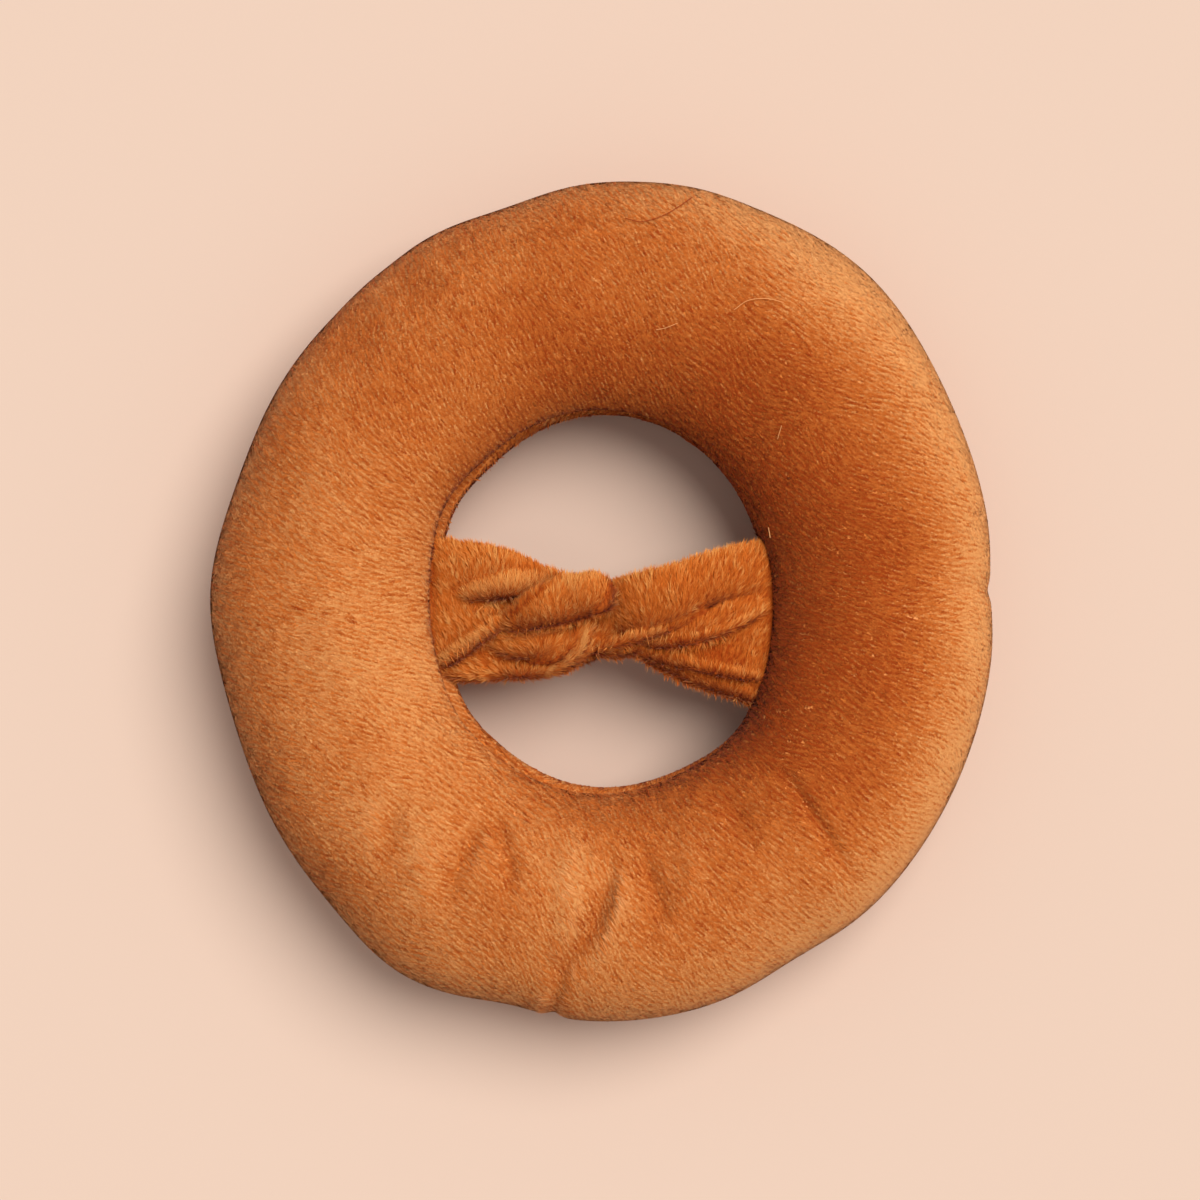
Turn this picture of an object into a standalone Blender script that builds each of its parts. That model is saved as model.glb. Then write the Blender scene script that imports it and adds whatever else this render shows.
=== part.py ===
"""A soft plush toy in the shape of a pretzel, lying flat.

A stuffed ring is sewn from a top and a bottom panel of short-pile fabric. The panels meet in
a seam round the outside and in a deeper one round the hole. A doubled band of the same fabric
crosses the hole: its ends are sewn flat into the inner seam, and it is turned once on itself,
so that it bunches in the middle.

Units are metres and +Z is up. The ring rests on z = 0, and the middle of its box is the origin.
"""

import math

import bpy
from mathutils import Vector

MM = 0.001
TURN = 2 * math.pi

# The ring, seen from above
RING_WIDTH = 169.2 * MM
RING_LENGTH = 181.6 * MM
HOLE_WIDTH = 70.0 * MM
HOLE_LENGTH = 81.0 * MM
# Where an edge leaves its ellipse: direction and spread in degrees, then metres outwards
OUTER_SWELLS = (
    (2, 7, -1.0 * MM),
    (52, 16, 2.6 * MM),
    (77, 8, 0.8 * MM),
    (104, 9, -1.9 * MM),
    (130, 24, -2.8 * MM),
    (160, 13, -1.4 * MM),
    (179, 10, 0.8 * MM),
    (200, 14, -1.1 * MM),
    (241, 10, 2.4 * MM),
    (257, 6, -1.1 * MM),
    (298, 9, -1.7 * MM),
)
HOLE_SWELLS = (
    (150, 16, 1.8 * MM),
    (218, 14, 1.0 * MM),
    (318, 20, 2.6 * MM),
)

# The ring's section
RING_HEIGHT = 40.0 * MM
REST_SINK = 1.5 * MM  # how far its weight flattens the underside
TOP_SWAY = 1.2 * MM  # the crown is fuller on one side than on the other
FULLEST_SIDE = 225  # degrees
SEAM_DEPTH = 3.4 * MM  # the inner seam, pulled in between the two panels
OUTER_SEAM_DEPTH = 0.9 * MM
# Gathers in the top panel: direction and spread in degrees, then depth
PUCKERS = (
    (124, 7, 0.8 * MM),
    (141, 7, 0.8 * MM),
    (227, 4, 0.9 * MM),
    (245, 4, 1.6 * MM),
    (262, 3.5, 2.4 * MM),
    (268, 3, 1.6 * MM),
    (277, 3, 1.4 * MM),
    (310, 4, 1.4 * MM),
)
SEGMENTS_ROUND = 112
SEGMENTS_SECTION = 28
SEAM_STEP = TURN / SEGMENTS_SECTION

# The twisted strap
STRAP_LEFT = -41.0 * MM  # its ends start inside the ring and are trimmed to the ring's wall
STRAP_RIGHT = 44.0 * MM
STRAP_HEIGHT = 22.5 * MM
SEWING_GAP = 0.3 * MM
STRAP_STATIONS = 45
STRAP_SIDES = 28
# Along the strap, from 0 at its left end to 1 at its right: half width, half thickness, and
# the sideways place of its middle
HALF_WIDTHS = ((0.0, 15.6 * MM), (0.22, 13.8 * MM), (0.36, 11.0 * MM), (0.5, 9.0 * MM),
               (0.64, 10.0 * MM), (0.8, 14.0 * MM), (1.0, 17.6 * MM))
HALF_THICKNESSES = ((0.0, 2.6 * MM), (0.22, 5.6 * MM), (0.36, 9.8 * MM), (0.5, 8.6 * MM),
                    (0.64, 9.4 * MM), (0.8, 5.6 * MM), (1.0, 2.8 * MM))
MIDDLES = ((0.0, -1.8 * MM), (0.45, -3.0 * MM), (0.65, -3.1 * MM), (1.0, -5.2 * MM))
TWIST_FROM, TWIST_TO = 0.18, 0.84
WAIST = 0.42  # how deep the two folded edges leave a valley between them, at mid-strap

PLUSH = (0.52, 0.19, 0.055)
PLUSH_STRAP = (0.55, 0.21, 0.065)


def clear_scene():
    for obj in list(bpy.data.objects):
        bpy.data.objects.remove(obj, do_unlink=True)


def collection(name):
    made = bpy.data.collections.new(name)
    bpy.context.scene.collection.children.link(made)
    return made


def move_to(obj, target):
    for owner in list(obj.users_collection):
        owner.objects.unlink(obj)
    target.objects.link(obj)


def fabric(name, colour):
    made = bpy.data.materials.new(name)
    made.use_nodes = True
    shader = made.node_tree.nodes["Principled BSDF"]
    shader.inputs["Base Color"].default_value = (*colour, 1.0)
    shader.inputs["Roughness"].default_value = 0.9
    shader.inputs["Metallic"].default_value = 0.0
    shader.inputs["Sheen Weight"].default_value = 0.3
    return made


def swell(angle, places):
    """The sum of the smooth bumps in places, at this direction round the ring."""
    total = 0.0
    for centre, spread, amount in places:
        off = (math.degrees(angle) - centre + 180) % 360 - 180
        total += amount * math.exp(-((off / spread) ** 2))
    return total


def ellipse_radius(angle, width, length):
    a, b = width / 2, length / 2
    return a * b / math.hypot(b * math.cos(angle), a * math.sin(angle))


def outer_radius(angle):
    return ellipse_radius(angle, RING_WIDTH, RING_LENGTH) + swell(angle, OUTER_SWELLS)


def hole_radius(angle):
    return ellipse_radius(angle, HOLE_WIDTH, HOLE_LENGTH) + swell(angle, HOLE_SWELLS)


def ring_point(angle, turn):
    """The point of the ring's skin in a direction round the hole, and at a turn round the
    stuffed section: 0 at the outer seam, a quarter at the crown, a half at the hole."""
    inner, outer = hole_radius(angle), outer_radius(angle)
    across, up = math.cos(turn), math.sin(turn)
    radius = (inner + outer) / 2 + (outer - inner) / 2 * across
    half_height = (RING_HEIGHT + REST_SINK) / 2
    height = half_height * up + half_height - REST_SINK
    if up > 0:
        side = math.cos(angle - math.radians(FULLEST_SIDE))
        height += up * (TOP_SWAY * (side - 1) / 2 - swell(angle, PUCKERS) * (0.75 + 0.25 * across))
    seam = TURN / 2 - SEAM_STEP
    radius += SEAM_DEPTH * math.exp(-(((turn - seam) / (0.7 * SEAM_STEP)) ** 2))
    radius -= OUTER_SEAM_DEPTH * math.exp(-((math.sin(turn / 2) / (0.3 * SEAM_STEP)) ** 2))
    return Vector((radius * math.cos(angle), radius * math.sin(angle), max(height, 0.0)))


def make_ring():
    """A torus whose every point is moved to its place on the stuffed ring."""
    big, small = RING_LENGTH / 3, RING_LENGTH / 8
    bpy.ops.mesh.primitive_torus_add(
        major_segments=SEGMENTS_ROUND,
        minor_segments=SEGMENTS_SECTION,
        major_radius=big,
        minor_radius=small,
    )
    ring = bpy.context.object
    ring.name = ring.data.name = "ring"
    for vertex in ring.data.vertices:
        x, y, z = vertex.co
        turn = math.atan2(z, math.hypot(x, y) - big) % TURN
        vertex.co = ring_point(math.atan2(y, x), turn)
    ring.data.shade_smooth()
    return ring


def eased(points, t):
    """The value at t of a smooth run through (place, value) points."""
    for (t0, value0), (t1, value1) in zip(points, points[1:]):
        if t <= t1:
            u = (t - t0) / (t1 - t0)
            return value0 + (value1 - value0) * u * u * (3 - 2 * u)
    return points[-1][1]


def strap_section(t):
    """The closed loop of points round the strap at t along its length."""
    half_width, half_thickness = eased(HALF_WIDTHS, t), eased(HALF_THICKNESSES, t)
    twist = -TURN * eased(((0.0, 0.0), (TWIST_FROM, 0.0), (TWIST_TO, 1.0), (1.0, 1.0)), t)
    waist = WAIST * math.sin(math.pi * t) ** 2
    x = STRAP_LEFT + (STRAP_RIGHT - STRAP_LEFT) * t
    points = []
    for k in range(STRAP_SIDES):
        turn = TURN * k / STRAP_SIDES
        wide = half_width * math.cos(turn)
        thick = half_thickness * math.sin(turn) * (1 - waist * math.sin(turn) ** 4)
        y = wide * math.cos(twist) - thick * math.sin(twist)
        z = wide * math.sin(twist) + thick * math.cos(twist)
        points.append(Vector((x, eased(MIDDLES, t) + y, STRAP_HEIGHT + z)))
    return points


def loft(name, sections):
    """A closed mesh through loops with the same number of points, with its two ends filled."""
    sides = len(sections[0])
    points = [point for section in sections for point in section]
    faces = [tuple(range(sides))]
    for row in range(len(sections) - 1):
        for k in range(sides):
            near, far = row * sides, (row + 1) * sides
            after = (k + 1) % sides
            faces.append((near + after, near + k, far + k, far + after))
    faces.append(tuple(reversed(range(len(points) - sides, len(points)))))
    mesh = bpy.data.meshes.new(name)
    mesh.from_pydata(points, [], faces)
    mesh.shade_smooth()
    made = bpy.data.objects.new(name, mesh)
    bpy.context.scene.collection.objects.link(made)
    return made


def make_strap():
    last = STRAP_STATIONS - 1
    return loft("twisted_strap", [strap_section(k / last) for k in range(STRAP_STATIONS)])


def ring_trimmer(ring):
    """The ring's shape grown by the sewing gap, which trims the strap's ends to the ring."""
    trimmer = bpy.data.objects.new("ring_trimmer", ring.data.copy())
    bpy.context.scene.collection.objects.link(trimmer)
    grow = trimmer.modifiers.new("grow", "DISPLACE")
    grow.mid_level = 0.0
    grow.strength = SEWING_GAP
    trimmer.hide_render = True
    trimmer.display_type = "WIRE"
    return trimmer


def cut(obj, cutter):
    modifier = obj.modifiers.new("trim", "BOOLEAN")
    modifier.operation = "DIFFERENCE"
    modifier.object = cutter


def box_middle(obj):
    """The middle of the object's box, seen from above."""
    across = [vertex.co.x for vertex in obj.data.vertices]
    along = [vertex.co.y for vertex in obj.data.vertices]
    return Vector((min(across) + max(across), min(along) + max(along), 0.0)) / 2


def main():
    clear_scene()
    toy = collection("plush_pretzel")
    cutters = collection("cutters")

    ring = make_ring()
    ring.data.materials.append(fabric("ring_plush", PLUSH))
    strap = make_strap()
    strap.data.materials.append(fabric("strap_plush", PLUSH_STRAP))
    trimmer = ring_trimmer(ring)
    cut(strap, trimmer)

    centre = bpy.data.objects.new("pretzel_centre", None)
    toy.objects.link(centre)
    centre.location = -box_middle(ring)
    for obj, owner in ((ring, toy), (strap, toy), (trimmer, cutters)):
        move_to(obj, owner)
        obj.parent = centre


main()
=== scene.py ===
# %% [markdown]
# # A plush pretzel
#
# The real thing is a soft toy: a stuffed ring of orange-brown plush with one doubled band of
# the same cloth sewn across its hole. It is lying flat on a pale table.
#
# The frame below holds the plain solids of both pieces. They give every place and size here,
# and each is then replaced by a skin, and by the pile that grows on it.

# %% Load the frame
import math

import bpy
import numpy as np
from mathutils import Matrix, Vector


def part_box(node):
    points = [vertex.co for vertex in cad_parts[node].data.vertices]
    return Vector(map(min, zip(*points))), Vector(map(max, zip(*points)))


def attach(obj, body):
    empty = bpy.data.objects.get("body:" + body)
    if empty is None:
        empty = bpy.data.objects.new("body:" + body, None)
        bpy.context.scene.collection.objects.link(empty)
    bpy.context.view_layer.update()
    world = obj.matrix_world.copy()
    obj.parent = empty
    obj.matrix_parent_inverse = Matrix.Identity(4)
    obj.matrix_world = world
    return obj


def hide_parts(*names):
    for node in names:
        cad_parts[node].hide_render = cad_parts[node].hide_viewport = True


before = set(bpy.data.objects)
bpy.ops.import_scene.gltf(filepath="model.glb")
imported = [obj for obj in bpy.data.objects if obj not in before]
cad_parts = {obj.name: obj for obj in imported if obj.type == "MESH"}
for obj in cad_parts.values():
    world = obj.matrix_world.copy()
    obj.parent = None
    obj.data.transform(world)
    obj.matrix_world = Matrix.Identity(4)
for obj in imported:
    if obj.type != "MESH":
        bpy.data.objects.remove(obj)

MM = 0.001
TURN = 2 * math.pi
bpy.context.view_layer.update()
ring_low, ring_high = (np.array(corner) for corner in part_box("ring"))
strap_low, strap_high = (np.array(corner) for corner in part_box("twisted_strap"))
print("ring, mm:", ((ring_high - ring_low) / MM).round(1))
print("strap, mm:", ((strap_high - strap_low) / MM).round(1))

# %% [markdown]
# ## Shape of the ring
#
# A stuffed tube never comes out as a true torus. The outline is an ellipse with a few swells
# and flats, and so is the hole. Sculpting would do it, but a formula is easier to grow pile
# on, because any point of the skin, and the way it faces, can be asked for at any time.
#
# A swell is a smooth bump with a direction and a spread in degrees, and a height.

# %% Outline and hole
RING_WIDTH, RING_LENGTH = 169.2 * MM, 181.6 * MM
HOLE_WIDTH, HOLE_LENGTH = 70.0 * MM, 81.0 * MM
OUTER_SWELLS = (
    (2, 7, -1.0), (52, 16, 2.6), (77, 8, 0.8), (104, 9, -1.9), (130, 24, -2.8), (160, 13, -1.4),
    (179, 10, 0.8), (200, 14, -1.1), (241, 10, 2.4), (257, 6, -1.1), (298, 9, -1.7),
)
HOLE_SWELLS = ((150, 16, 1.8), (218, 14, 1.0), (318, 20, 2.6))


def swell(angle, places):
    """The sum of smooth bumps in mm, as metres, at these directions round the ring."""
    total = np.zeros_like(angle)
    for centre, spread, height in places:
        off = (np.degrees(angle) - centre + 180) % 360 - 180
        total += height * MM * np.exp(-((off / spread) ** 2))
    return total


def ellipse_radius(angle, width, length):
    a, b = width / 2, length / 2
    return a * b / np.hypot(b * np.cos(angle), a * np.sin(angle))


def outer_radius(angle):
    return ellipse_radius(angle, RING_WIDTH, RING_LENGTH) + swell(angle, OUTER_SWELLS)


def hole_radius(angle):
    return ellipse_radius(angle, HOLE_WIDTH, HOLE_LENGTH) + swell(angle, HOLE_SWELLS)


round_the_ring = np.linspace(0, TURN, 720, endpoint=False)
tube = outer_radius(round_the_ring) - hole_radius(round_the_ring)
print("tube is", (tube.min() / MM).round(1), "to", (tube.max() / MM).round(1), "mm wide")

# %% [markdown]
# ## Smooth noise
#
# Stuffing is lumpy, and brushed pile has darker and lighter places. Both need noise that is
# smooth and always the same. A sum of a few dozen plane waves in random directions is enough,
# and numpy does it for every point at once.

# %% Waves
def waves(points, size, seed, count=24):
    """Smooth noise with lumps about this size, mostly between -1 and 1."""
    rng = np.random.default_rng(seed)
    total = np.zeros(len(points))
    for _ in range(count):
        direction = rng.normal(size=points.shape[1])
        direction *= TURN / (size * rng.uniform(0.8, 1.8) * np.linalg.norm(direction))
        total += np.sin(points @ direction + rng.uniform(0, TURN))
    return total / math.sqrt(count)


# %% Streaks
def streaks(points, heading, across, along, seed, count=20):
    """Noise stretched along a heading that changes from place to place.

    Noise can only be stretched one way at a time, so it is made for a few fixed headings, and
    each place takes the ones nearest to its own."""
    total = np.zeros(len(points))
    weight = np.zeros(len(points))
    for fixed in np.radians(np.arange(0, 180, 20)):
        off = (heading - fixed + TURN / 4) % (TURN / 2) - TURN / 4
        share = np.exp(-((off / math.radians(11)) ** 2))
        used = share > 0.02
        if not used.any():
            continue
        rng = np.random.default_rng(seed + int(math.degrees(fixed)))
        here = points[used, :2]
        run = here @ (math.cos(fixed), math.sin(fixed)) / along
        side = here @ (-math.sin(fixed), math.cos(fixed)) / across
        noise = np.zeros(len(here))
        for _ in range(count):
            beat = TURN * (side * rng.uniform(0.6, 1.4) + run * rng.normal(0, 0.6))
            noise += np.sin(beat + rng.uniform(0, TURN))
        total[used] += share[used] * noise / math.sqrt(count / 2)
        weight[used] += share[used] ** 2
    return total / np.sqrt(weight + 1e-9)


# %% [markdown]
# ## The stuffed section
#
# Cut across, the tube is an oval that its weight flattens below. Two panels make it. They
# meet on the outside, where the seam hardly shows, and round the hole, where the seam is
# pulled deep between them: the lower panel swells out again beneath the crease, so a rim of
# it shows inside the hole.
#
# The top panel is gathered by the seams, most of all at the bottom of the ring. Each gather is
# a stroke drawn on the panel, as a few stations in mm from the middle of the hole: x, y, half
# width and depth. A depth below zero is a ridge.

# %% Seams and gathers
RING_HEIGHT = 40.0 * MM
REST_SINK = 1.5 * MM
TOP_SWAY = 1.2 * MM
FULLEST_SIDE = math.radians(225)
SEAM_DEPTH = 2.8 * MM
OUTER_SEAM_DEPTH = 1.0 * MM
DRAWN_BACK = 1.3 * MM  # how far the wall of the hole is drawn back where the strap is sewn in
LUMPS = 0.3 * MM
GATHERS = (
    ((0, -50, 2.0, 0.1), (1.6, -58, 2.2, 1.0), (-1.8, -68, 2.3, 1.8), (-9, -79, 2.0, 1.4),
     (-10.8, -90, 1.8, 0.9)),
    ((7, -50, 1.8, 0.2), (9.6, -58, 2.4, 1.5), (12.2, -66, 2.6, 1.3), (8, -74, 2.0, 0.1)),
    ((-7, -46, 3.0, -0.1), (-7, -58, 3.2, -1.1), (-7.2, -70, 3.2, -0.9), (-9, -78, 3.0, 0.0)),
    ((3.8, -57, 1.6, -0.2), (4.0, -64, 1.8, -1.2), (1.6, -71, 2.0, -1.0), (-2, -80, 2.4, -0.2)),
    ((-24, -44, 2.2, 0.1), (-27.5, -50, 2.6, 1.6), (-32, -58, 2.8, 1.4), (-34, -67, 2.8, 0.1)),
    ((-24, -44, 2.0, 0.1), (-22, -49, 2.4, 1.8), (-19.6, -57, 2.4, 1.5), (-20.6, -65, 2.0, 0.1)),
    ((-35, -43, 3.0, -0.1), (-38, -55, 3.2, -0.8), (-38, -68, 3.0, 0.0)),
    ((-43, -40, 2.4, 0.1), (-45, -49, 2.8, 1.2), (-47, -59, 2.6, 0.1)),
    ((22, -40, 3.0, 0.1), (28, -46, 3.4, 1.6), (33, -56, 3.4, 0.1)),
    ((17, -46, 2.6, -0.1), (19, -58, 3.0, -0.8), (17, -70, 3.0, 0.0)),
    ((37, -35, 1.5, 0.1), (42, -42, 1.7, 1.2), (48, -51, 1.9, 1.3), (54, -61, 2.0, 0.1)),
    ((70, 3.4, 2.4, 0.0), (78, 2.8, 2.2, 0.5), (86, 2.2, 2.0, 0.7)),
    ((-60, 48, 5.0, 0.1), (-52, 56, 6.0, 1.0), (-46, 64, 5.0, 0.1)),
    ((-38, 60, 4.0, 0.1), (-41, 67, 5.0, 0.8), (-46, 74, 5.0, 0.1)),
)


def ramp(low, high, value):
    t = np.clip((value - low) / (high - low), 0, 1)
    return t * t * (3 - 2 * t)


def strokes(x, y, drawn):
    """The value that a few drawn strokes leave at these places."""
    total = np.zeros_like(x)
    for stroke in drawn:
        nearest = np.full_like(x, np.inf)
        width, value = np.ones_like(x), np.zeros_like(x)
        for (x0, y0, w0, v0), (x1, y1, w1, v1) in zip(stroke, stroke[1:]):
            run_x, run_y = (x1 - x0) * MM, (y1 - y0) * MM
            t = ((x - x0 * MM) * run_x + (y - y0 * MM) * run_y) / (run_x**2 + run_y**2)
            t = np.clip(t, 0, 1)
            away = np.hypot(x - x0 * MM - t * run_x, y - y0 * MM - t * run_y)
            closer = away < nearest
            nearest = np.where(closer, away, nearest)
            width = np.where(closer, w0 + (w1 - w0) * t, width)
            value = np.where(closer, v0 + (v1 - v0) * t, value)
        total += value * np.exp(-((nearest / (width * MM)) ** 2))
    return total


def seam_turn(angle):
    """The inner seam lies above the middle of the wall on the left, and below it on the right."""
    return TURN / 2 - 0.11 + 0.17 * np.cos(angle - 0.1)


def ring_shape(angle, turn):
    """Points of the ring's skin. turn goes round the section: 0 outside, a quarter at the top,
    a half at the hole."""
    inner, outer = hole_radius(angle), outer_radius(angle)
    across, up = np.cos(turn), np.sin(turn)
    radius = (inner + outer) / 2 + (outer - inner) / 2 * across
    half_height = (RING_HEIGHT + REST_SINK) / 2
    height = half_height * up + half_height - REST_SINK
    top = np.clip(up, 0, 1)
    pulled = strokes(radius * np.cos(angle), radius * np.sin(angle), GATHERS) * MM
    height += top * (TOP_SWAY * (np.cos(angle - FULLEST_SIDE) - 1) / 2 - pulled)
    radius -= pulled * np.clip(across, 0, 1) * ramp(-0.5, 0.0, up)
    radius += SEAM_DEPTH * np.exp(-(((turn - seam_turn(angle)) / 0.10) ** 2))
    radius -= OUTER_SEAM_DEPTH * np.exp(-((np.sin(turn / 2) / 0.045) ** 2))
    beside_strap = np.exp(-(((radius * np.sin(angle) + 1.5 * MM) / (14.5 * MM)) ** 6))
    radius += DRAWN_BACK * beside_strap * np.exp(-(((turn - TURN / 2 + 0.1) / 0.22) ** 2))
    points = np.stack([radius * np.cos(angle), radius * np.sin(angle), height], 1)
    points[:, 2] += LUMPS * waves(points, 24 * MM, 3) * top
    points[:, 2] = np.maximum(points[:, 2], 0.0)
    return points


# %% Middle of the ring
# The frame's origin is the middle of the ring's box, so the formula is moved by the same step.
coarse_angle, coarse_turn = np.meshgrid(round_the_ring, np.linspace(0, TURN, 72, endpoint=False))
plain = ring_shape(coarse_angle.ravel(), coarse_turn.ravel())
middle = (plain.min(0) + plain.max(0)) / 2 * (1, 1, 0)
print("the formula's middle is off the origin by", (middle / MM).round(2), "mm")


def ring_surface(angle, turn):
    """Points of the skin and the two ways along it: round the ring, and up the section."""
    step = 0.002
    here = ring_shape(angle, turn)
    round_it = ring_shape(angle + step, turn) - here
    up_it = ring_shape(angle, turn + step) - here
    return here - middle, round_it / step, up_it / step


# %% Turn numbers into a mesh
def mesh_object(name, points, faces):
    """A smooth mesh object from arrays. faces holds one row of corner numbers a face."""
    mesh = bpy.data.meshes.new(name)
    count, corners = faces.shape
    mesh.vertices.add(len(points))
    mesh.vertices.foreach_set("co", points.astype(np.float32).ravel())
    mesh.loops.add(count * corners)
    mesh.loops.foreach_set("vertex_index", faces.astype(np.int32).ravel())
    mesh.polygons.add(count)
    mesh.polygons.foreach_set("loop_start", np.arange(0, count * corners, corners, dtype=np.int32))
    mesh.update(calc_edges=True)
    mesh.shade_smooth()
    made = bpy.data.objects.new(name, mesh)
    bpy.context.scene.collection.objects.link(made)
    return made


def grid_faces(rows, columns):
    """Quads of a grid that closes on itself both ways. On the ring they face inwards."""
    row, column = np.meshgrid(np.arange(rows), np.arange(columns), indexing="ij")
    after_row, after_column = (row + 1) % rows, (column + 1) % columns
    corners = (row * columns + column, row * columns + after_column,
               after_row * columns + after_column, after_row * columns + column)
    return np.stack([c.ravel() for c in corners], 1)


# %% The ring's skin
SKIN_ROUND, SKIN_SECTION = 360, 128
angle, turn = np.meshgrid(np.arange(SKIN_ROUND) * TURN / SKIN_ROUND,
                          np.arange(SKIN_SECTION) * TURN / SKIN_SECTION, indexing="ij")
skin_points, _, _ = ring_surface(angle.ravel(), turn.ravel())
ring_skin = mesh_object("ring_skin", skin_points, grid_faces(SKIN_ROUND, SKIN_SECTION))
print("ring skin:", len(ring_skin.data.polygons), "faces")

# %% [markdown]
# ## Folds of the strap
#
# The strap is one doubled band, turned once between its sewn ends. Cloth simulation can twist
# a band, but it folds where it likes. These folds are laid one by one instead: each one is a
# soft roll along a short path, like a roll of clay, and a voxel remesh melts them into one
# skin. A bow-tie core fills the space between them.
#
# Along a path, each point is x, y and z in mm from the middle of the hole at the strap's
# height, then the roll's half width and half thickness.

# %% Folds, from the left end to the right
CORE = (
    (-38.5, -0.8, 0, 14.4, 1.8), (-30, -2.2, 0, 14.0, 2.2), (-22, -2.9, 0, 12.8, 2.6),
    (-14, -4.4, 0, 10.8, 3.4), (-10, -4.9, 0, 9.2, 3.4), (-6, -4.1, 0, 7.8, 3.6), (-2, -3.0, -0.6, 7.4, 3.8),
    (2, -3.4, -0.6, 7.6, 3.8), (7, -3.0, 0, 7.6, 3.8), (12, -3.2, 0, 9.2, 3.8), (20, -3.9, 0, 12.2, 2.8),
    (28, -4.2, 0, 14.6, 2.2), (33, -4.6, 0, 16.0, 2.0), (41.5, -5.0, 0, 17.0, 1.8),
)
UPPER_LEFT_FACE = ((-38, 5.0, 0.2, 8.8, 1.8), (-30, 6.6, 0.8, 5.8, 2.4), (-22, 7.0, 1.2, 3.6, 2.8),
                   (-14, 5.4, 1.0, 1.9, 2.6), (-9, 4.0, 0.2, 1.3, 2.2))
UPPER_LEFT_ROLL = ((-31.5, 0.4, 0.9, 0.8, 1.0), (-28, 1.3, 2.0, 1.8, 1.8), (-23, 2.6, 3.0, 2.5, 2.4),
                   (-18.5, 3.3, 3.2, 2.6, 2.3), (-14.5, 4.0, 2.0, 2.0, 1.9), (-11, 4.4, 0.6, 1.3, 1.4))
MAIN_ROLL = ((-22, -5.8, 2.8, 1.2, 1.2), (-18.5, -4.2, 5.6, 2.8, 2.6), (-14, -1.9, 7.8, 4.0, 3.2),
             (-9, -0.1, 8.2, 4.6, 3.2), (-4, 1.0, 9.0, 4.3, 3.4), (-1.4, 1.3, 9.0, 3.9, 3.2),
             (0.6, 1.6, 8.4, 3.4, 2.8))
EDGE_STRAND = ((-35.5, -14.4, 0.8, 0.9, 1.0), (-32, -12.0, 2.4, 1.2, 1.2), (-28, -9.0, 3.8, 1.3, 1.3),
               (-24.5, -6.6, 4.8, 1.2, 1.2), (-21.5, -5.2, 5.2, 1.0, 1.0))
FLAP = ((-24, -9.6, 1.4, 1.4, 1.4), (-19, -9.9, 3.0, 2.5, 1.8), (-13, -9.5, 3.8, 2.9, 2.0),
        (-8.5, -8.2, 3.8, 2.3, 2.0), (-5.5, -6.2, 3.4, 1.4, 1.6))
FLAP_EDGE = ((-22.5, -8.2, 3.4, 0.7, 0.8), (-17, -7.4, 5.0, 0.9, 0.9), (-12, -6.5, 5.6, 0.9, 0.9),
             (-7.5, -5.2, 5.6, 0.7, 0.8))
INNER_LOOP = ((-16, -13.2, 2.2, 0.8, 0.8), (-11, -12.4, 4.0, 0.9, 0.9), (-8, -10.4, 5.2, 0.9, 0.9),
              (-6.2, -7.6, 5.8, 0.8, 0.8), (-4.8, -4.8, 6.0, 0.7, 0.7))
OUTER_LOOP = ((-13, -14.4, 1.6, 0.9, 0.9), (-8.6, -13.2, 3.2, 1.0, 1.0), (-5.6, -10.6, 4.6, 1.0, 1.0),
              (-4.0, -7.4, 5.4, 0.9, 0.9), (-3.0, -4.8, 5.6, 0.7, 0.7))
LOWER_LEFT_BAND = ((-37, -15.2, -1.0, 1.5, 1.6), (-30, -15.4, -0.6, 1.7, 1.8), (-20, -15.2, 0.0, 1.6, 1.8),
                   (-11, -14.4, 1.2, 1.4, 1.6), (-6, -12.0, 2.4, 1.3, 1.4), (-3.6, -10.4, 2.8, 1.0, 1.0))
RIGHT_FACE = ((-1.2, -5.4, 0.4, 3.8, 2.4), (2.4, -3.2, 1.6, 5.6, 2.6), (8, -1.0, 4.6, 6.1, 3.0),
              (14, 0.9, 5.2, 5.9, 2.8), (20, 3.4, 4.0, 5.3, 2.4), (27, 5.4, 2.6, 5.4, 2.0),
              (33, 6.2, 1.2, 5.9, 1.6), (39, 6.4, 0.2, 6.2, 1.2))
RIGHT_FACE_EDGE = ((-2, -10.4, 2.4, 0.7, 0.8), (2, -9.4, 4.0, 0.8, 0.9), (6, -8.3, 5.0, 0.8, 0.9),
                   (12, -6.7, 5.4, 0.8, 0.8), (17, -4.9, 5.0, 0.7, 0.7), (21, -2.4, 4.2, 0.6, 0.6))
WAIST_BOTTOM = ((-3, -9.8, 1.2, 1.3, 1.6), (1, -10.4, 1.4, 1.6, 1.8), (6, -10.0, 1.4, 1.6, 1.8),
                (10, -10.8, 0.8, 1.4, 1.6))
RIGHT_MIDDLE = ((6, -9.0, 2.4, 1.0, 1.4), (12, -8.4, 3.2, 1.4, 1.6), (20, -5.6, 3.2, 2.3, 1.6),
                (28, -2.6, 2.0, 3.0, 1.6), (37, -0.4, 0.4, 3.4, 1.2))
RIGHT_MIDDLE_EDGE = ((10, -9.8, 3.2, 0.6, 0.6), (15, -9.3, 4.0, 0.7, 0.7), (21, -8.2, 4.2, 0.7, 0.7),
                     (28, -5.6, 3.4, 0.7, 0.7), (35, -2.2, 1.8, 0.6, 0.6))
RIGHT_LOWER = ((9, -11.2, 0.8, 1.4, 1.6), (15, -12.2, 1.2, 2.4, 1.8), (22, -12.6, 1.0, 4.0, 1.6),
               (30, -12.6, 0.6, 5.4, 1.4), (38, -12.6, 0.0, 6.2, 1.2))
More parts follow.
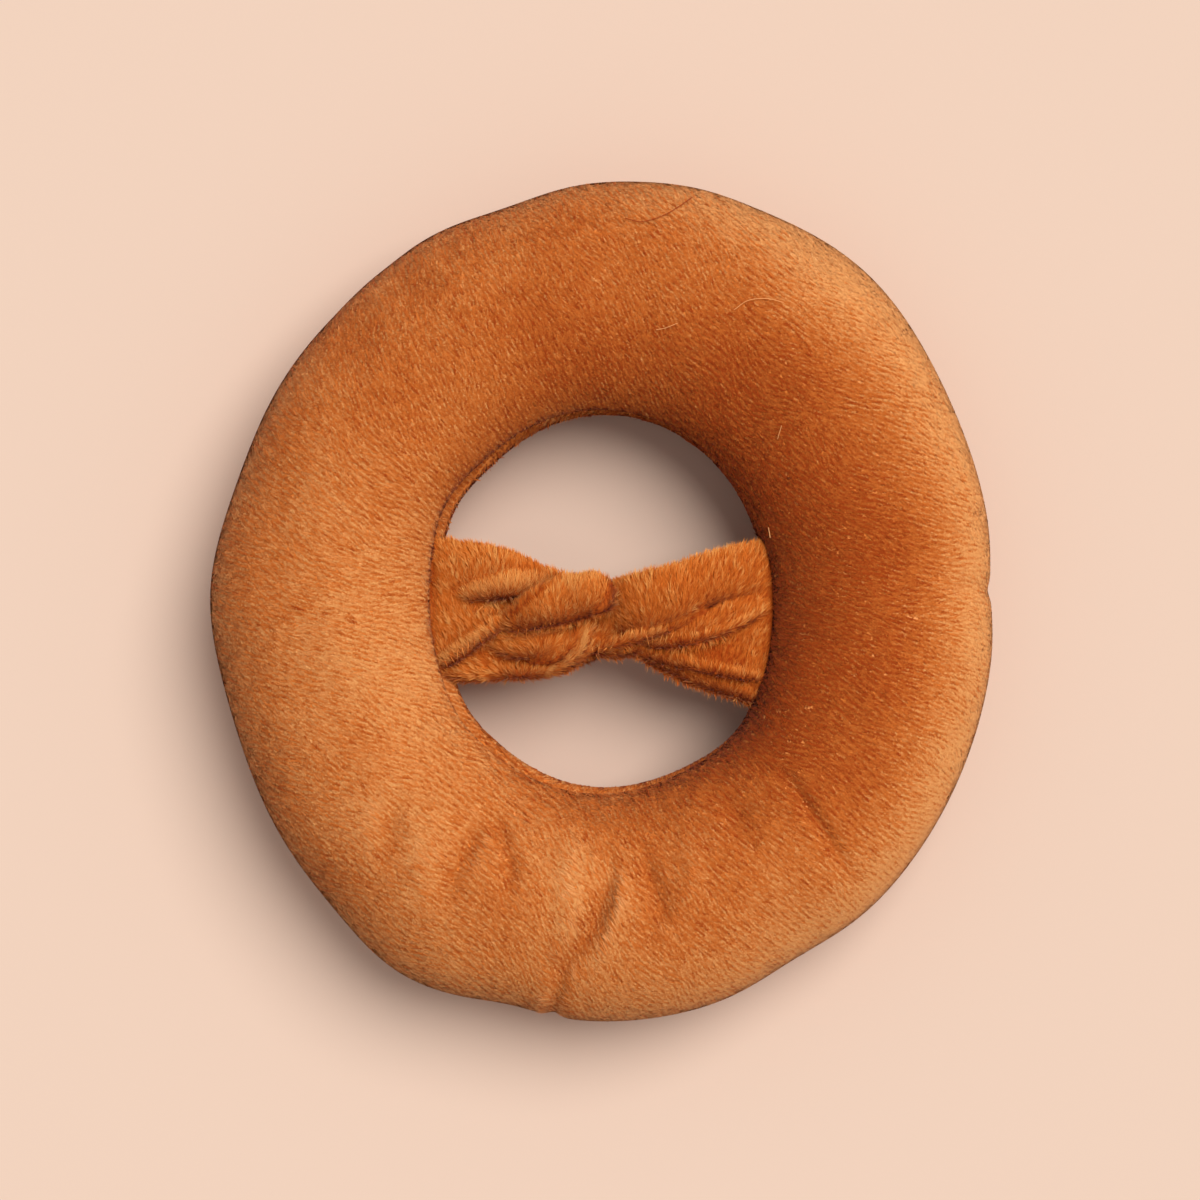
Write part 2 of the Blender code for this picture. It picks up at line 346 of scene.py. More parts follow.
RIGHT_LOWER_LINE = ((16, -13.6, 2.6, 0.5, 0.5), (22, -15.0, 2.8, 0.6, 0.6), (28, -16.3, 2.2, 0.6, 0.6),
                    (35, -17.4, 1.2, 0.5, 0.5))
RIGHT_LOWER_BAND = ((10, -12.2, -0.2, 1.1, 1.3), (18, -15.8, -0.4, 1.4, 1.5), (26, -18.6, -0.6, 1.5, 1.5),
                    (33, -20.8, -0.8, 1.5, 1.4), (39, -22.2, -1.0, 1.4, 1.3))
FOLDS_ABOVE = (
    UPPER_LEFT_FACE, UPPER_LEFT_ROLL, MAIN_ROLL, EDGE_STRAND, FLAP, FLAP_EDGE, INNER_LOOP, OUTER_LOOP,
    LOWER_LEFT_BAND, RIGHT_FACE, RIGHT_FACE_EDGE, WAIST_BOTTOM, RIGHT_MIDDLE, RIGHT_MIDDLE_EDGE,
    RIGHT_LOWER, RIGHT_LOWER_LINE, RIGHT_LOWER_BAND,
)
FOLDS_REPEATED_BELOW = (UPPER_LEFT_FACE, UPPER_LEFT_ROLL, MAIN_ROLL, RIGHT_FACE, RIGHT_MIDDLE)
STRAP_HEIGHT = 22.5 * MM


def smooth_run(stations, steps):
    """More stations between the given ones, on a Catmull-Rom curve through them."""
    p = np.array(stations, float)
    p = np.vstack([2 * p[0] - p[1], p, 2 * p[-1] - p[-2]])
    out = []
    for k in range(1, len(p) - 2):
        for t in np.linspace(0, 1, steps, endpoint=k == len(p) - 3):
            a, b, c, d = p[k - 1], p[k], p[k + 1], p[k + 2]
            out.append(b + 0.5 * t * (c - a + t * (2 * a - 5 * b + 4 * c - d
                                                   + t * (3 * (b - c) + d - a))))
    return np.array(out)


def roll_mesh(stations, sides=20, steps=6):
    """Points and faces of one closed roll: ovals across a path, and a fan at each end."""
    run = smooth_run(stations, steps)
    ahead = np.gradient(run[:, :3], axis=0)
    ahead /= np.linalg.norm(ahead, axis=1, keepdims=True)
    sideways = np.cross((0, 0, 1), ahead)
    sideways /= np.linalg.norm(sideways, axis=1, keepdims=True)
    upwards = np.cross(ahead, sideways)
    turns = np.arange(sides) * TURN / sides
    wide, thick = np.maximum(run[:, 3], 0.3), np.maximum(run[:, 4], 0.3)
    rim = (run[:, None, :3]
           + (wide[:, None] * np.cos(turns))[:, :, None] * sideways[:, None]
           + (thick[:, None] * np.sin(turns))[:, :, None] * upwards[:, None])
    points = np.vstack([rim.reshape(-1, 3), run[0, :3] - ahead[0] * thick[0] * 0.7,
                        run[-1, :3] + ahead[-1] * thick[-1] * 0.7])
    faces = []
    last = len(run) - 1
    for row in range(last):
        for k in range(sides):
            a, b = row * sides + k, row * sides + (k + 1) % sides
            faces.append((a, b, b + sides, a + sides))
    first_tip, last_tip = len(run) * sides, len(run) * sides + 1
    for k in range(sides):
        after = (k + 1) % sides
        faces.append((first_tip, after, k))
        faces.append((last_tip, last * sides + k, last * sides + after))
    return points, faces


def turned_under(stations):
    """The same fold on the underside: a half turn about the core's own middle line."""
    core = np.array(CORE)
    return tuple((x, 2 * np.interp(x, core[:, 0], core[:, 1]) - y, -z, wide, thick)
                 for x, y, z, wide, thick in stations)


# %% Melt the folds into one skin
def melted(name, rolls, voxel, smoothing):
    """One closed skin round all the rolls."""
    points, faces = [], []
    for stations in rolls:
        more_points, more_faces = roll_mesh(stations)
        start = sum(len(p) for p in points)
        points.append(more_points * MM)
        faces += [tuple(start + corner for corner in face) for face in more_faces]
    mesh = bpy.data.meshes.new(name)
    mesh.from_pydata(np.vstack(points), [], faces)
    made = bpy.data.objects.new(name, mesh)
    bpy.context.scene.collection.objects.link(made)
    remesh = made.modifiers.new("remesh", "REMESH")
    remesh.mode = "VOXEL"
    remesh.voxel_size = voxel
    smooth = made.modifiers.new("smooth", "SMOOTH")
    smooth.factor, smooth.iterations = 0.5, smoothing
    evaluated = made.evaluated_get(bpy.context.evaluated_depsgraph_get())
    made.modifiers.clear()
    made.data = bpy.data.meshes.new_from_object(evaluated)
    made.data.name = name
    made.data.shade_smooth()
    return made


all_rolls = [CORE, *FOLDS_ABOVE, *(turned_under(fold) for fold in FOLDS_REPEATED_BELOW)]
strap_skin = melted("strap_skin", all_rolls, voxel=0.4 * MM, smoothing=2)
strap_skin.data.transform(Matrix.Translation((-middle[0], -middle[1], STRAP_HEIGHT)))
print("strap skin:", len(strap_skin.data.polygons), "faces")

# %% [markdown]
# ## Pile
#
# Plush is a knit with short fibres standing out of it, brushed to lie one way. A bump map can
# draw that, but it fails at the outline, where real pile is a soft fringe, and in the creases.
# Here the fibres are blades: each one a thin triangle, wide at its root.
#
# The cloth was cut flat, so its nap runs one way over the whole panel. Sewing bends the
# panel, not the nap: a direction on the flat cloth is turned into a part that runs round the
# ring and a part that runs out from the hole, and both follow the skin.
#
# Each blade keeps two numbers: its tone, from 0 dark to 1 pale, and how far along it a corner
# is, from 0 at the root to 1 at the tip. They are kept as a map as well, a plain chart of tone
# against length, which every blade shares.

# %% Blades
UV_NAME = "OFBake"
TONE_WIDTH = 0.0024  # how wide a blade is on the chart
# Light spreads between fibres, so a blade is shaded partly like the cloth it stands on.
SOFTENED = 0.35
PRESSED_SOFTENED = 0.5  # how much more so where the pile is pressed flat
rng = np.random.default_rng(11)
LUCK = rng.random((4096, 4))


def unit(vectors):
    return vectors / np.maximum(np.linalg.norm(vectors, axis=1, keepdims=True), 1e-12)


def tufts(roots, pitch):
    """For each root the middle of its tuft, and four numbers that the whole tuft shares."""
    cell = np.floor(roots / pitch).astype(np.int64)
    luck = LUCK[(cell @ (73856093, 19349663, 83492791)) % len(LUCK)]
    return (cell + 0.2 + 0.6 * luck[:, :3]) * pitch, luck


def blades(name, roots, normals, nap, length, width, lift, tone, spread=0.18, sink=0.25 * MM,
           tuft_pitch=1.2 * MM, gather=0.4, tuft_tone_and_shade=0.05, rolled=0.35, pressed=0.0):
    """One mesh of thin triangles that lean along the nap, drawn together in tufts.

    Where pressed nears 1 the pile lies flat, and is shaded more like the cloth."""
    count = len(roots)
    middles, luck = tufts(roots, tuft_pitch)
    side = unit(np.cross(normals, nap))
    sway = (rng.normal(0, spread, count) + (luck[:, 0] - 0.5) * 0.5)[:, None]
    lean = unit(nap * np.cos(sway) + side * np.sin(sway))
    loose = 1 - 0.8 * pressed
    uneven = rng.normal(0, 0.10, count) + (luck[:, 1] - 0.5) * 0.25
    rise = np.clip(lift + uneven * loose, 0.05, 1.3)[:, None]
    ahead = lean * np.cos(rise) + normals * np.sin(rise)
    roll = (rng.normal(0, 1, count) * rolled * loose)[:, None]
    across = unit(np.cross(normals, lean)) * np.cos(roll) + normals * np.sin(roll)
    half = (width * rng.uniform(0.7, 1.3, count) / 2)[:, None]
    reach = (length * rng.uniform(0.65, 1.25, count))[:, None]
    base = roots - normals * sink
    aside = ((middles - roots) * side).sum(1) * loose
    tips = base + ahead * reach + gather * aside[:, None] * side
    corners = np.stack([base + across * half, base - across * half, tips], 1)
    corners[:, :, 2] = np.maximum(corners[:, :, 2], 0.0)
    made = mesh_object(name, corners.reshape(-1, 3), np.arange(count * 3).reshape(-1, 3))
    own = unit(np.cross(corners[:, 1] - corners[:, 0], corners[:, 2] - corners[:, 0]))
    like_cloth = np.reshape(SOFTENED + PRESSED_SOFTENED * (1 - loose), (-1, 1))
    soft = unit(like_cloth * normals + (1 - like_cloth) * own)
    made.data.normals_split_custom_set_from_vertices(np.repeat(soft, 3, 0))
    # Each tuft gets a random tone, and painted shade darkens its blades towards the gaps between tufts.
    tone = tone + tuft_tone_and_shade * (2 * luck[:, 2] - 0.6 - 2 * np.abs(aside) / tuft_pitch)
    tone = np.clip(tone, 0.01, 0.99)
    tones = np.stack([tone - TONE_WIDTH, tone + TONE_WIDTH, tone], 1).ravel()
    along = np.tile((0.0, 0.0, 1.0), count)
    for label, values in (("tone", tones), ("along", along)):
        kept = made.data.attributes.new(label, "FLOAT", "POINT")
        kept.data.foreach_set("value", values.astype(np.float32))
    chart = made.data.uv_layers.new(name=UV_NAME)
    chart.data.foreach_set("uv", np.stack([tones, along], 1).astype(np.float32).ravel())
    return made


# %% [markdown]
# ## Pile of the ring
#
# Roots are scattered evenly over the skin: places are drawn at random in the formula's own
# two numbers, and kept more often where those cover more cloth.
#
# On the ring the blades are laid in from outside. Their wide root ends stand a quarter of a
# millimetre over the skin and their tips dip under it, so it is the root ends that show. Real
# pile stands the other way: turning it round means new lengths and tones.

# %% Scatter roots
PANEL_SPLIT = TURN / 2 - 0.1  # upper and lower pile meet near the inner seam


def scatter(count, angles, turns):
    """Angles and turns of evenly scattered roots in this part of the skin."""
    found = []
    total = 0
    while total < count:
        a = rng.uniform(*angles, count)
        t = rng.uniform(*turns, count)
        inner, outer = hole_radius(a), outer_radius(a)
        half = (outer - inner) / 2
        round_length = (inner + outer) / 2 + half * np.cos(t)
        area = round_length * np.hypot(half * np.sin(t), RING_HEIGHT / 2 * np.cos(t))
        kept = rng.uniform(0, np.percentile(area, 99), count) < area
        found.append(np.stack([a[kept], t[kept]], 1))
        total += kept.sum()
    return np.vstack(found)[:count].T


def cloth_frame(a, t, under):
    """Roots, normals, and the two flat-cloth directions laid on the skin.

    The normals point into the ring, so pile that follows them dips under the skin."""
    here, round_it, up_it = ring_surface(a, t)
    normals = unit(np.cross(round_it, up_it)) * -1.0
    outwards = unit(up_it) * (1.0 if under else -1.0)
    return here, normals, unit(round_it), outwards


def nap_on_skin(a, round_it, outwards, heading):
    """A heading on the flat cloth, in radians from +X, as a direction along the skin."""
    out_part = np.cos(heading - a)[:, None]
    round_part = np.sin(heading - a)[:, None]
    return unit(out_part * outwards + round_part * round_it)


def blend(points, spots, sharpness=3):
    """Values at points, from given spots of x, y (mm) and value: near ones count most."""
    total = np.zeros(len(points))
    weight = np.zeros(len(points))
    for x, y, value in spots:
        near = (np.hypot(points[:, 0] - x * MM, points[:, 1] - y * MM) / MM + 4.0) ** -sharpness
        total += near * value
        weight += near
    return total / weight


# %% [markdown]
# The nap was brushed by hand and by handling, so it does not run quite one way. Its tone is
# also painted darker where the ring lies in shade, and paler where light falls on it and at the
# sheen of its outer edge. Both are laid down as a few spots.

# %% Brushing of the ring
# x, y in mm, and the way the tips point in degrees from +X
NAP_SPOTS = (
    (70, 5, 170), (55, 45, 160), (40, 30, 140), (5, 62, 125), (0, 48, 120), (-45, 55, 105),
    (-30, 60, 112), (-60, 20, 140), (-45, 0, 172), (-75, 0, 155), (-65, -35, 155), (-40, -60, 150),
    (-5, -70, 120), (5, -50, 125), (45, -55, 140), (60, -30, 150), (48, -5, 160), (45, -25, 145),
)
# painted light and shade: direction and spread in degrees, place and spread between the hole (0)
# and the edge (1), tone
PAINTED_LIGHT_AND_SHADE = (
    (0, 42, 0.05, 0.34, -0.40), (-36, 22, 0.02, 0.24, -0.28), (52, 30, 0.05, 0.34, -0.26),
    (95, 32, 0.05, 0.25, -0.12), (12, 44, 1.05, 0.28, 0.55), (60, 26, 1.05, 0.26, 0.50),
    (-45, 30, 1.05, 0.28, 0.35), (-95, 50, 1.05, 0.22, 0.22), (200, 50, 0.10, 0.40, 0.22),
    (190, 55, 0.60, 0.35, 0.22), (0, 50, 0.50, 0.22, -0.20), (262, 30, 0.55, 0.40, 0.16),
    (120, 40, 1.05, 0.25, 0.16), (190, 50, 1.05, 0.14, 0.16), (100, 50, 0.45, 0.40, -0.07),
)


def ring_pile(name, count, angles, turns, under, length, lift):
    a, t = scatter(count, angles, turns)
    here, normals, round_it, outwards = cloth_frame(a, t, under)
    across = (np.cos(t) + 1) / 2
    heading = np.radians(blend(here, NAP_SPOTS)) + waves(here[:, :2], 14 * MM, 6) * 0.14
    nap = nap_on_skin(a, round_it, outwards, heading)
    rim = np.exp(-((np.sin(t / 2) / 0.30) ** 2))[:, None]
    nap = unit(nap + 1.3 * rim * outwards * (-1 if under else 1))
    rows = streaks(here, heading, 0.95 * MM, 3.2 * MM, 7)
    tone = 0.5 + 0.05 * waves(here, 20 * MM, 8) + 0.17 * rows
    # Painted light and shade: the tone is raised where light and sheen fall, lowered where shade falls.
    for centre, spread, place, width, amount in PAINTED_LIGHT_AND_SHADE:
        off = (np.degrees(a) - centre + 180) % 360 - 180
        tone += amount * np.exp(-((off / spread) ** 2) - ((across - place) / width) ** 2)
    shape = here + middle
    # Painted shade in the grooves of the gathers, and painted highlight on their ridges.
    tone -= 0.12 * np.clip(strokes(shape[:, 0], shape[:, 1], GATHERS), -0.8, 2) * (not under)
    tone += rng.normal(0, 0.08, count)
    by_seam = np.exp(-(((t - seam_turn(a)) / 0.06) ** 2))
    # Painted shade: the pile is darkened along the deep crease of the inner seam.
    tone -= 0.35 * by_seam
    rim = rim[:, 0]
    reach = length * (1 - 0.6 * by_seam) * (1 - 0.4 * rim * under)
    rise = lift * (1 - 0.55 * rim) + 0.12 * rows * (1 - rim)
    return blades(name, here, normals, nap, reach, 0.40 * MM, rise, tone, tuft_tone_and_shade=0.08, pressed=rim)


PILE_LENGTH = 2.3 * MM
LEFT_HALF, RIGHT_HALF = (TURN / 4, 3 * TURN / 4), (-TURN / 4, TURN / 4)
pile_pieces = [
    ring_pile("pile_ring_left", 195000, LEFT_HALF, (0.0, PANEL_SPLIT), False, PILE_LENGTH, 0.30),
    ring_pile("pile_ring_right", 195000, RIGHT_HALF, (0.0, PANEL_SPLIT), False, PILE_LENGTH, 0.30),
    ring_pile("pile_ring_underside", 195000, (0, TURN), (PANEL_SPLIT, TURN), True, PILE_LENGTH, 0.30),
]
for piece in pile_pieces:
    print(piece.name, len(piece.data.polygons), "blades")

# %% [markdown]
# ## Pile of the strap
#
# The strap's skin is a mesh, so its roots are scattered over the triangles by area. Its nap
# lies across the band, and turns slowly from one end to the other.

# %% Grow it
STRAP_NAP_SPOTS = (
    (-36, 8, 122), (-29, 8, 102), (-20, 8, 90), (-12, 5, 92), (-22, 3, 88), (-12, 0, 88), (-4, 2, 82),
    (3, 1, 116), (8, -3, 108), (14, 1, 94), (21, 5, 88), (28, 7, 74), (35, 6, 56), (34, -2, 50),
    (25, -4, 70), (28, -10, 72), (34, -15, 60), (20, -15, 110), (10, -9, 80), (-34, -6, 124),
    (-28, -8, 118), (-16, -9, 150), (-10, -11, 40), (-5, -8, 62), (-25, -15, 160), (-12, -15, 20),
    (0, -9, 40),
)


# Painted shade and painted highlight: dark strokes in the creases where folds meet and where the
# strap is sewn into the ring, and pale strokes along the edges of folds. x, y in mm, half width
# in mm, and how dark (above 0) or pale (below 0).
FOLD_SHADE_STROKES = (
    ((1.9, 4.8, 0.5, 0.9), (1.5, 2, 0.6, 1.4), (0.2, -1, 0.7, 1.5), (-2.4, -3.6, 0.9, 1.6),
     (-3.2, -5.6, 0.6, 0.9)),
    ((-9.5, 4.6, 0.6, 0.7), (-13.4, 1.2, 0.8, 1.2), (-16.4, -1.4, 0.8, 1.3), (-19.4, -3.6, 0.8, 0.9)),
    ((-4, -3.2, 0.5, 0.6), (-10, -4.7, 0.5, 0.9), (-17, -6.2, 0.5, 0.9), (-22.5, -7.6, 0.7, 0.9)),
    ((-30, -0.6, 0.5, 0.2), (-26, -1.5, 0.6, 0.2), (-23.6, -2.0, 1.4, -0.8), (-19.6, -3, 0.8, 0.3)),
    ((-31.5, -9.8, 0.4, 0.6), (-28, -8.0, 0.5, 0.9), (-24, -4.8, 0.6, 0.5)),
    ((-26, -11.8, 0.6, 0.8), (-20, -13.2, 0.6, 0.9), (-15, -13.8, 0.5, 0.8), (-10, -12.8, 0.5, 0.8),
     (-7, -9.8, 0.4, 0.8), (-5.4, -6.2, 0.4, 0.6)),
    ((-2, -9.4, 0.4, 0.5), (5, -9.4, 0.5, 0.5), (12, -7.8, 0.5, 0.5), (18, -5.6, 0.6, 0.5),
     (21.2, -2.8, 1.0, 0.9), (22, 0, 0.5, 0.4)),
    ((12.5, -9.4, 0.4, 0.8), (18, -9.2, 0.4, 0.7)),
    ((19, -9.0, 0.4, 0.5), (27, -6.6, 0.5, 0.5), (35, -3.6, 0.5, 0.5)),
    ((21, -11.4, 1.6, 0.4), (26, -12.6, 2.2, 0.6), (30, -13.6, 1.6, 0.2)),
    ((19, -14.6, 0.4, 0.4), (28, -17.0, 0.5, 0.6), (35, -18.4, 0.6, 0.8)),
    ((-31, 1.4, 0.4, 0.3), (-25, 4.2, 0.5, 0.5), (-18, 6.0, 0.5, 0.5), (-12, 6.2, 0.5, 0.4)),
    ((-36.6, 12, 0.7, 0.9), (-36.8, -10, 0.7, 0.9)),
    ((36.2, 12, 0.9, 2.0), (36.0, -2, 0.9, 2.0), (35.8, -16, 0.9, 2.0)),
    ((-35, -13.8, 0.8, -0.5), (-30, -10.6, 0.8, -0.5), (-24, -6.6, 0.8, -0.4)),
    ((-13, -14.8, 0.7, -0.4), (-8.4, -13.2, 0.8, -0.6), (-5.4, -10.4, 0.8, -0.6), (-3.8, -6.4, 0.6, -0.4)),
    ((-29, 1.0, 1.4, -0.4), (-22, 2.6, 1.8, -0.5), (-15, 3.4, 1.4, -0.4)),
    ((-12, 3.0, 1.8, -0.4), (-7, 3.8, 1.8, -0.5), (-1, 4.2, 1.4, -0.3)),
    ((-21, -7.4, 0.9, -0.5), (-13, -6.4, 0.9, -0.5), (-8, -5.6, 0.7, -0.3)),
    ((7, 4.6, 1.2, -0.2), (14, 6.8, 1.4, -0.4), (22, 9.2, 1.4, -0.4), (34, 12.2, 1.6, -0.4)),
    ((6, -8.6, 0.9, -0.4), (12, -8.0, 1.2, -0.6), (15, -7.6, 0.8, -0.3)),
    ((16, -8.6, 0.5, -0.5), (22, -7.8, 0.6, -0.4), (28, -5.2, 0.6, -0.4), (35, -2.0, 0.6, -0.3)),
    ((20, -13.6, 0.5, -0.2), (28, -15.8, 0.6, -0.4), (34, -17.0, 0.6, -0.4)),
)


def surface_arrays(mesh):
    """Corner points and corner normals of a mesh, as arrays, and its triangles."""
    mesh.calc_loop_triangles()
    corners = np.empty(len(mesh.loop_triangles) * 3, np.int32)
    mesh.loop_triangles.foreach_get("vertices", corners)
    points = np.empty(len(mesh.vertices) * 3, np.float32)
    mesh.vertices.foreach_get("co", points)
    facing = np.empty(len(mesh.vertices) * 3, np.float32)
    mesh.vertex_normals.foreach_get("vector", facing)
    return points.reshape(-1, 3).astype(float), facing.reshape(-1, 3).astype(float), corners.reshape(-1, 3)


def hollowness(mesh, points, facing, rounds=10):
    """How deep each corner lies among its neighbours: above 0 in a crease, below 0 on a ridge."""
    edges = np.empty(len(mesh.edges) * 2, np.int32)
    mesh.edges.foreach_get("vertices", edges)
    a, b = edges.reshape(-1, 2).T
    neighbours = np.bincount(a, minlength=len(points)) + np.bincount(b, minlength=len(points))
    soft = points.copy()
    for _ in range(rounds):
        total = np.stack([np.bincount(a, soft[b, k], len(points)) + np.bincount(b, soft[a, k], len(points))
                          for k in range(3)], 1)
        soft = total / neighbours[:, None]
    return ((soft - points) * facing).sum(1)


def strap_pile(count, length, lift):
    points, facing, corners = surface_arrays(strap_skin.data)
    hollow = hollowness(strap_skin.data, points, facing)
    p0, p1, p2 = (points[corners[:, k]] for k in range(3))
    area = np.linalg.norm(np.cross(p1 - p0, p2 - p0), axis=1)
    area *= np.where(facing[corners[:, 0], 2] < 0, 0.5, 1.0)  # thinner below, where it is never seen
    chosen = rng.choice(len(area), count, p=area / area.sum())
    u, v = rng.random((2, count))
    u, v = np.where(u + v > 1, 1 - u, u), np.where(u + v > 1, 1 - v, v)
    weights = np.stack([1 - u - v, u, v], 1)
    here = sum(weights[:, k, None] * points[corners[chosen, k]] for k in range(3))
    normals = unit(sum(weights[:, k, None] * facing[corners[chosen, k]] for k in range(3)))
    deep = sum(weights[:, k] * hollow[corners[chosen, k]] for k in range(3)) / MM
    heading = np.radians(blend(here + middle, STRAP_NAP_SPOTS)) + 0.18 * waves(here, 6 * MM, 21)
    flat = np.stack([np.cos(heading), np.sin(heading), np.zeros(count)], 1)
    flat = np.where(normals[:, 2:] < -0.2, flat * (1, -1, 1), flat)
    nap = unit(flat - normals * (flat * normals).sum(1, keepdims=True))
    rows = streaks(here, heading, 1.1 * MM, 4.0 * MM, 22)
    shape = here + middle
    # Painted shade and painted highlight, drawn as strokes on the strap's upper side.
    fold_shade = strokes(shape[:, 0], shape[:, 1], FOLD_SHADE_STROKES) * (normals[:, 2] > 0)
    # Painted shade in the strap's creases and painted highlight on its ridges, from how deep the skin lies.
    tone = 0.42 + 0.17 * rows - np.clip(0.7 * deep, -0.2, 0.4) - 0.55 * fold_shade
    tone += 0.04 - 0.13 / (1 + np.exp(-(shape[:, 0] / MM - 6) / 4))  # darker right of the twist
    tone += rng.normal(0, 0.10, count)
    reach = length * np.clip(1 - 1.2 * deep - 0.5 * fold_shade, 0.4, 1.2)
    return blades("pile_strap", here, normals, nap, reach, 0.33 * MM, lift + 0.14 * rows, tone,
                  tuft_pitch=0.8 * MM, gather=0.6, tuft_tone_and_shade=0.08)


pile_pieces.append(strap_pile(170000, 2.1 * MM, 0.34))
print("pile_strap", len(pile_pieces[-1].data.polygons), "blades")

# %% [markdown]
# ## Loose fibres and stitches
#
# A dark hair lies near the far edge, and a few long pale fibres have worked loose. On the
# strap, short stitches hold the folds down. All are thin threads laid on the skin: a ray is
# dropped on it at each place to find how high the thread lies.

# %% Threads
def lay_down(obj, x, y, lifted):
    """The point this many mm over the skin, at x, y in mm from the middle of the hole."""
    start = Vector((x * MM - middle[0], y * MM - middle[1], 2 * RING_HEIGHT))
    found, point, _, _ = obj.ray_cast(start, Vector((0, 0, -1)))
    return np.array(point if found else (*start[:2], STRAP_HEIGHT)) + (0, 0, lifted * MM)


def thread(run, radius, tone, along, sides=5):
    """Points, faces, tones and places along the chart of a thin tube."""
    run = np.array(run)
    ahead = unit(np.gradient(run, axis=0))
    sideways = unit(np.cross((0, 0, 1), ahead))
    upwards = np.cross(ahead, sideways)
    turns = np.arange(sides) * TURN / sides
    rim = run[:, None] + radius * (np.cos(turns)[:, None] * sideways[:, None]
                                   + np.sin(turns)[:, None] * upwards[:, None])
    row, side = np.meshgrid(np.arange(len(run) - 1), np.arange(sides), indexing="ij")
    after = (side + 1) % sides
    faces = np.stack([row * sides + side, row * sides + after,
                      (row + 1) * sides + after, (row + 1) * sides + side], 2)
    return rim.reshape(-1, 3), faces.reshape(-1, 4), tone, along


def threads_object(name, threads):
    """One mesh of many threads, coloured from the same chart as the pile."""
    points, faces, tones, alongs = [], [], [], []
    for rim, quads, tone, along in threads:
        faces.append(quads + sum(len(p) for p in points))
        points.append(rim)
        tones.append(np.full(len(rim), tone))
        alongs.append(np.full(len(rim), along))
    made = mesh_object(name, np.vstack(points), np.vstack(faces))
    tones, alongs = np.concatenate(tones), np.concatenate(alongs)
    wobble = waves(np.vstack(points), 1.5 * MM, 31)
    tones = np.clip(tones + 0.04 * wobble, 0.02, 0.98)
    alongs = np.clip(alongs + 0.04 * waves(np.vstack(points), 1.1 * MM, 32), 0.02, 0.98)
    for label, values in (("tone", tones), ("along", alongs)):
        kept = made.data.attributes.new(label, "FLOAT", "POINT")
        kept.data.foreach_set("value", values.astype(np.float32))
    corners = np.vstack(faces).ravel()
    chart = made.data.uv_layers.new(name=UV_NAME)
    chart.data.foreach_set("uv", np.stack([tones[corners], alongs[corners]], 1).astype(np.float32).ravel())
    return made


# %% Hair and loose fibres
LOOSE = (  # x, y of a few places in mm, radius in mm, tone, place on the chart
    (((4.5, 81.4), (8.0, 80.6), (12.5, 82.0), (16.0, 84.2), (18.8, 86.4)), 0.10, 0.02, 0.04),
    (((27.5, 61.6), (30.5, 63.6), (34.5, 64.0), (38.0, 63.2)), 0.06, 0.86, 0.9),
    (((11.0, 57.4), (13.0, 57.8), (15.6, 58.8)), 0.06, 0.86, 0.9),
    (((36.8, 34.4), (37.6, 37.2)), 0.06, 0.90, 0.95),
    (((35.6, 13.6), (35.2, 15.8)), 0.08, 0.95, 0.95),
)
loose_threads = []
for places, radius, tone, along in LOOSE:
    if len(places) > 2:
        run = smooth_run([(x, y, 0) for x, y in places], 8)
    else:
        run = np.linspace((*places[0], 0), (*places[1], 0), 6)
    laid = [lay_down(ring_skin, x, y, 1.1) for x, y, _ in run]
    loose_threads.append(thread(laid, radius * MM, tone, along))
loose_fibres = threads_object("loose_fibres", loose_threads)
print("loose fibres:", len(loose_threads))

# %% Stitches of the strap
STITCHED = (  # a line that the stitches cross, how long and how far apart they are in mm, tone
    (((-34, -13.2), (-24, -6.4)), 2.6, 1.5, 0.62),
    (((-20, -7.4), (-11, -5.6)), 2.0, 1.7, 0.56),
    (((-28, -1.6), (-20, -3.0)), 1.8, 1.3, 0.6),
    (((9.5, -8.6), (15.0, -7.4)), 2.4, 1.0, 0.72),
    (((-2.5, -10.6), (2.0, -10.4)), 1.8, 1.2, 0.66),
)
stitch_threads = []
for ((x0, y0), (x1, y1)), long, apart, tone in STITCHED:
    span = math.hypot(x1 - x0, y1 - y0)
    for step in np.arange(0, span, apart):
        share = (step + rng.uniform(-0.2, 0.2)) / span
        tilt = math.atan2(y1 - y0, x1 - x0) + math.radians(rng.normal(68, 16))
        x, y = x0 + (x1 - x0) * share, y0 + (y1 - y0) * share
        reach = long * rng.uniform(0.7, 1.2) / 2
        laid = [lay_down(strap_skin, x + math.cos(tilt) * reach * t, y + math.sin(tilt) * reach * t,
                         0.2 + 0.7 * (1 - t * t)) for t in np.linspace(-1, 1, 7)]
        stitch_threads.append(thread(laid, 0.13 * MM, tone + rng.uniform(-0.15, 0.1), 0.8))
stitches = threads_object("strap_stitches", stitch_threads)
print("stitches:", len(stitch_threads))

# %% [markdown]
# ## Colours
#
# Pile is dark and strongly orange down at its roots, where light has passed many fibres, and
# pale at its tips. So the blade's colour is a ramp along its length, and its tone moves that
# whole ramp. The ring's cloth is brushed paler and yellower than the strap's folds, so each
# has its own colours. The knit under the ring's pile takes the tips' colours, so that gaps in
# the pile don't show dark, and the knit under the strap's takes the roots'.

# %% Pile colours
KNIT_NOISE_SCALE = 90.0  # lumps of about a centimetre
# for tones 0, a half and 1
RING_TIPS = ((0.40, 0.071, 0.0045), (0.70, 0.197, 0.034), (0.90, 0.47, 0.19))
RING_ROOTS = ((0.27, 0.033, 0.0020), (0.45, 0.105, 0.014), (0.63, 0.26, 0.076))
STRAP_TIPS = ((0.45, 0.060, 0.0025), (0.72, 0.182, 0.020), (0.86, 0.40, 0.105))
STRAP_ROOTS = ((0.20, 0.020, 0.0010), (0.42, 0.080, 0.008), (0.62, 0.22, 0.048))


